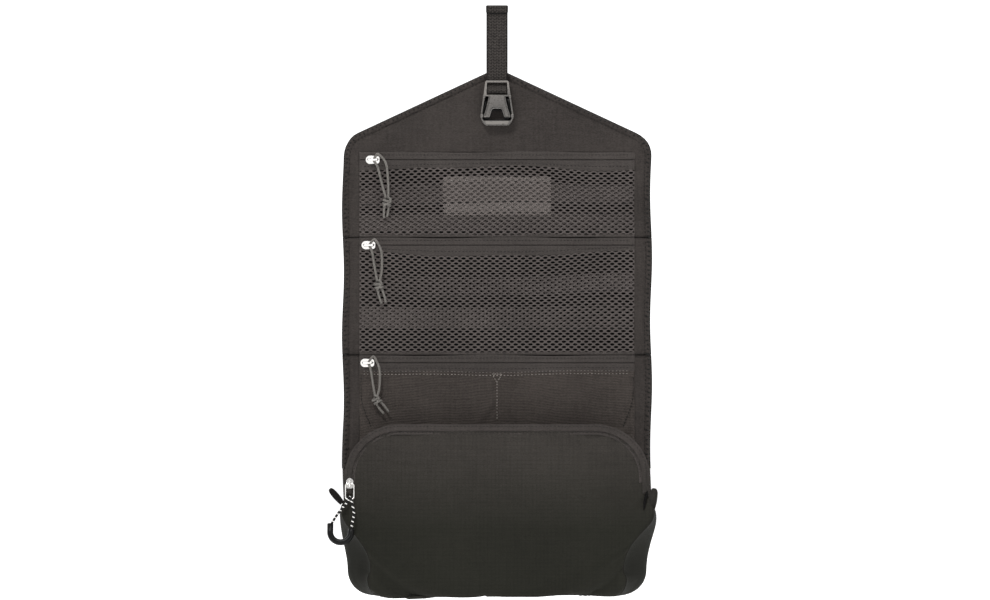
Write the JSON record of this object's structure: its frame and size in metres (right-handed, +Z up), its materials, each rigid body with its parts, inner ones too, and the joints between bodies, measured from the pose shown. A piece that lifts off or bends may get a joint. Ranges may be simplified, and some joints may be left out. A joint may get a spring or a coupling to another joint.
{
  "type": "hanging toiletry bag",
  "caption": "Fold-up hanging toiletry bag: pointed flap with a webbing loop and hook, zipped mesh and fabric pockets, and a zipped wash pouch at its foot.",
  "frame": {"origin": "centre of the strap's loop, which is the line of the rail or peg that the bag hangs from", "axes": "+X across the bag to its right as seen from the front, -Y out of the front, +Z up the strap"},
  "size_m": [0.3218, 0.0898, 0.5542],
  "materials": {
    "shell_fabric": "fine matt ripstop weave",
    "pouch_fabric": "fine matt weave with a slight sheen",
    "lining_fabric": "smooth matt lining",
    "mesh": "open knitted mesh",
    "webbing": "woven webbing",
    "zip_tape": "woven zip tape",
    "cord": "braided cord",
    "black_cord": "braided cord with light flecks",
    "thread": "twisted thread",
    "label": "smooth blank patch",
    "foam": "soft foam padding",
    "hook_plastic": "fine matt moulded",
    "coil": "moulded coil",
    "slider_metal": "polished",
    "tube": "satin"
  },
  "bodies": {
    "strap": {"hanging_strap": "webbing", "strap_tail": "webbing", "stop_stitching": "thread"},
    "hook": {"hook_frame": "hook_plastic", "strap_turn": "webbing"},
    "gate": {"hook_gate": "hook_plastic"},
    "upper_panel": {"upper_shell": "shell_fabric", "upper_foam": "foam", "upper_lining": "lining_fabric", "upper_facing": "shell_fabric", "strap_anchor": "webbing", "anchor_stitching": "thread", "keeper_loop": "webbing", "zip_tape_1": "zip_tape", "zip_coil_1": "coil", "mesh_pocket_1": "mesh", "mesh_strips_1": "mesh", "label_patch": "label"},
    "slider_1": {"zip_slider_1": "slider_metal"},
    "pull_1": {"pull_cord_1": "cord"},
    "middle_panel": {"middle_shell": "shell_fabric", "middle_foam": "foam", "middle_lining": "lining_fabric", "middle_facing": "shell_fabric", "zip_tape_2": "zip_tape", "zip_coil_2": "coil", "mesh_pocket_2": "mesh", "mesh_strips_2": "mesh"},
    "slider_2": {"zip_slider_2": "slider_metal"},
    "pull_2": {"pull_cord_2": "cord"},
    "pouch": {"lower_shell": "shell_fabric", "lower_foam": "foam", "lower_lining": "lining_fabric", "lower_facing": "shell_fabric", "zip_tape_3": "zip_tape", "zip_coil_3": "coil", "pocket_3_front": "shell_fabric", "divider_seam": "thread", "pouch_front": "pouch_fabric", "pouch_gusset": "pouch_fabric", "pouch_lining": "lining_fabric", "outer_zip_tape": "zip_tape", "outer_zip_coil": "coil", "tab_left": "shell_fabric", "tab_right": "shell_fabric"},
    "slider_3": {"zip_slider_3": "slider_metal"},
    "pull_3": {"pull_cord_3": "cord"},
    "door": {"pouch_door": "pouch_fabric", "inner_zip_tape": "zip_tape", "inner_zip_coil": "coil"},
    "main_slider": {"main_zip_slider": "slider_metal"},
    "main_pull": {"pull_bail": "slider_metal", "main_pull_cord": "black_cord", "main_pull_tube": "tube"}
  },
  "joints": [
    {"name": "strap_flex", "type": "hinge", "parent": "strap", "child": "upper_panel", "pos_m": [0, 0.0056, -0.057], "axis": [-1, 0, 0], "range_deg": [-90, 0]},
    {"name": "hook_swing", "type": "hinge", "parent": "strap", "child": "hook", "pos_m": [0, -0.0046, -0.0615], "axis": [1, 0, 0], "range_deg": [-100, 0]},
    {"name": "gate_flex", "type": "hinge", "parent": "hook", "child": "gate", "pos_m": [0, -0.00775, -0.081], "axis": [-1, 0, 0], "range_deg": [-15, 0], "stiffness_Nm_per_rad": 0.02},
    {"name": "fold_upper", "type": "hinge", "parent": "upper_panel", "child": "middle_panel", "pos_m": [0, -0.0038, -0.2125], "axis": [-1, 0, 0], "range_deg": [0, 45]},
    {"name": "fold_lower", "type": "hinge", "parent": "middle_panel", "child": "pouch", "pos_m": [0, -0.0038, -0.3235], "axis": [-1, 0, 0], "range_deg": [0, 135]},
    {"name": "zip_1", "type": "slide", "parent": "upper_panel", "child": "slider_1", "axis": [-1, 0, 0], "range_m": [-0.234, 0]},
    {"name": "pull_1_swing", "type": "hinge", "parent": "slider_1", "child": "pull_1", "pos_m": [-0.117, -0.0048, -0.1395], "axis": [1, 0, 0], "range_deg": [-80, 0]},
    {"name": "zip_2", "type": "slide", "parent": "middle_panel", "child": "slider_2", "axis": [-1, 0, 0], "range_m": [-0.234, 0]},
    {"name": "pull_2_swing", "type": "hinge", "parent": "slider_2", "child": "pull_2", "pos_m": [-0.121, -0.0048, -0.22], "axis": [1, 0, 0], "range_deg": [-80, 0]},
    {"name": "zip_3", "type": "slide", "parent": "pouch", "child": "slider_3", "axis": [-1, 0, 0], "range_m": [-0.234, 0]},
    {"name": "pull_3_swing", "type": "hinge", "parent": "slider_3", "child": "pull_3", "pos_m": [-0.122, -0.0048, -0.331], "axis": [1, 0, 0], "range_deg": [-80, 0]},
    {"name": "door_fold", "type": "hinge", "parent": "pouch", "child": "door", "pos_m": [0, -0.06027, -0.45033], "axis": [-1, 0, 0], "range_deg": [-100, 0]},
    {"name": "main_zip", "type": "hinge", "parent": "pouch", "child": "main_slider", "pos_m": [-0.091, -0.05453, -0.43588], "axis": [0, -0.9407, 0.3393], "range_deg": [-95, 0]},
    {"name": "main_pull_swing", "type": "hinge", "parent": "main_slider", "child": "main_pull", "pos_m": [-0.13714, -0.0592, -0.44249], "axis": [1, 0, 0], "range_deg": [-80, 0]}
  ]
}
